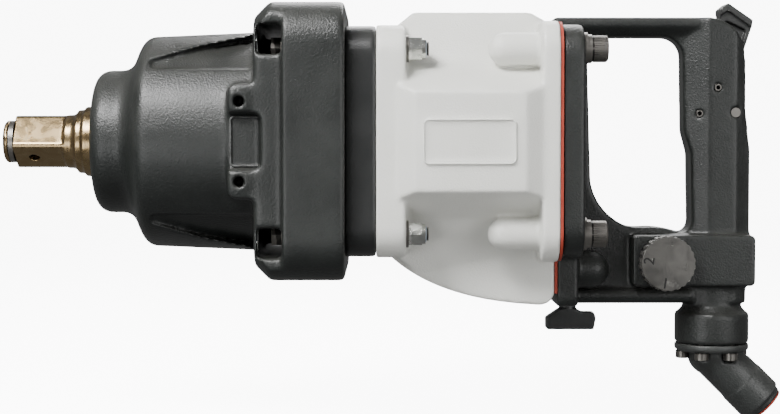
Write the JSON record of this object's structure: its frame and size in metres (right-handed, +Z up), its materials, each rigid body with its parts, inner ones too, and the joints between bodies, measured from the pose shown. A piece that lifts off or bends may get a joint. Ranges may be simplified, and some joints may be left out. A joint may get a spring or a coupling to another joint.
{
  "type": "impact wrench",
  "caption": "Air impact wrench: one-inch square drive, hammer case, motor housing, D-handle with outside trigger, regulator dial, reverse lever and angled air inlet.",
  "frame": {"origin": "centre of the cross pin hole of the square drive, on the tool axis", "axes": "+X along the tool axis from the square drive to the handle, +Z up, -Y the side with the regulator dial"},
  "size_m": [0.4945, 0.168, 0.2663],
  "materials": {
    "black_casting": "rough cast, dark grey-green black paint",
    "satin_black": "satin black",
    "pale_paint": "warm off-white hammered paint on a casting",
    "bronzed_steel": "steel with a gold-bronze surface treatment",
    "dark_steel": "blackened steel",
    "bare_steel": "ground steel",
    "zinc": "zinc-plated steel",
    "bronze": "sintered bronze",
    "black_rubber": "black rubber",
    "red_gasket": "red sealing rubber",
    "black_plastic": "moulded black plastic",
    "vane_composite": "cotton phenolic",
    "dial_metal": "grey machined metal with dark engraved numbers",
    "grey_casting": "dark grey phosphated steel",
    "brass_mesh": "brass mesh"
  },
  "bodies": {
    "root": {"anvil_bushing": "bronze", "anvil_seal": "black_rubber", "case_bolt_washers": "dark_steel", "case_bolts": "dark_steel", "case_nut_washers": "dark_steel", "case_nuts": "zinc", "cylinder_liner": "bare_steel", "elbow_screws": "dark_steel", "exhaust_screen": "dark_steel", "front_bearing_outer_race": "bare_steel", "front_end_plate": "bare_steel", "grip_pins": "dark_steel", "hammer_case": "black_casting", "handle": "black_casting", "handle_flat_washers": "dark_steel", "handle_gasket": "red_gasket", "handle_screws": "dark_steel", "handle_spring_washers": "dark_steel", "inlet_elbow": "grey_casting", "inlet_seal_ring": "red_gasket", "inlet_strainer": "brass_mesh", "intermediate_plate": "satin_black", "motor_housing": "pale_paint", "rear_bearing_outer_race": "bare_steel", "rear_end_plate": "bare_steel", "regulator_detent_ball": "bare_steel", "regulator_detent_spring": "bare_steel", "throttle_bush": "bronze", "throttle_seat": "black_rubber", "throttle_spring": "bare_steel", "thrust_washer": "bronze", "trigger_pin": "dark_steel"},
    "anvil": {"anvil": "bronzed_steel", "socket_retaining_ring": "dark_steel", "retaining_o_ring": "black_rubber"},
    "rotor": {"rotor": "bare_steel", "rotor_vanes": "vane_composite", "rotor_circlip": "dark_steel", "hammer_cage": "bare_steel", "hammer_pins": "bare_steel", "front_bearing_inner_race": "bare_steel", "rear_bearing_inner_race": "bare_steel"},
    "front_hammer": {"front_hammer": "bare_steel"},
    "rear_hammer": {"rear_hammer": "bare_steel"},
    "front_balls": {"front_bearing_balls": "bare_steel"},
    "rear_balls": {"rear_bearing_balls": "bare_steel"},
    "trigger": {"trigger_lever": "black_plastic"},
    "throttle_stem": {"throttle_stem": "bare_steel"},
    "regulator": {"regulator_dial": "dial_metal", "regulator_spool": "bare_steel"},
    "reverse": {"reverse_lever": "satin_black", "reverse_spool": "bare_steel"}
  },
  "joints": [
    {"name": "anvil_spin", "type": "hinge", "parent": "root", "child": "anvil", "pos_m": [0, 0, 0], "axis": [1, 0, 0], "continuous": true},
    {"name": "rotor_spin", "type": "hinge", "parent": "root", "child": "rotor", "pos_m": [0.28, 0, 0], "axis": [1, 0, 0], "continuous": true},
    {"name": "front_hammer_swing", "type": "hinge", "parent": "rotor", "child": "front_hammer", "pos_m": [0.122, 0, 0.045], "axis": [1, 0, 0], "range_deg": [-6.5, 6.5]},
    {"name": "rear_hammer_swing", "type": "hinge", "parent": "rotor", "child": "rear_hammer", "pos_m": [0.154, 0, -0.045], "axis": [1, 0, 0], "range_deg": [-6.5, 6.5]},
    {"name": "front_balls_orbit", "type": "hinge", "parent": "root", "child": "front_balls", "pos_m": [0.224, 0, 0], "axis": [1, 0, 0], "continuous": true},
    {"name": "rear_balls_orbit", "type": "hinge", "parent": "root", "child": "rear_balls", "pos_m": [0.32, 0, 0], "axis": [1, 0, 0], "continuous": true},
    {"name": "trigger_press", "type": "hinge", "parent": "root", "child": "trigger", "pos_m": [0.4428, 0, 0.0183], "axis": [0, -1, 0], "range_deg": [0, 11], "stiffness_Nm_per_rad": 3, "springref_deg": -8.59},
    {"name": "throttle_stroke", "type": "slide", "parent": "root", "child": "throttle_stem", "axis": [-1, 0, 0], "range_m": [0, 0.0049], "deforming": ["throttle_spring"]},
    {"name": "regulator_turn", "type": "hinge", "parent": "root", "child": "regulator", "pos_m": [0.3981, 0, -0.0759], "axis": [0, 1, 0], "range_deg": [-90, 180]},
    {"name": "reverse_turn", "type": "hinge", "parent": "root", "child": "reverse", "pos_m": [0.339, 0, -0.1], "axis": [0, 0, 1], "range_deg": [-45, 45]}
  ],
  "couplings": [
    {"joint": "front_balls_orbit", "follows": "rotor_spin", "ratio": 0.405},
    {"joint": "rear_balls_orbit", "follows": "rotor_spin", "ratio": 0.396},
    {"joint": "throttle_stroke", "follows": "trigger_press", "m_per_rad": 0.025}
  ]
}
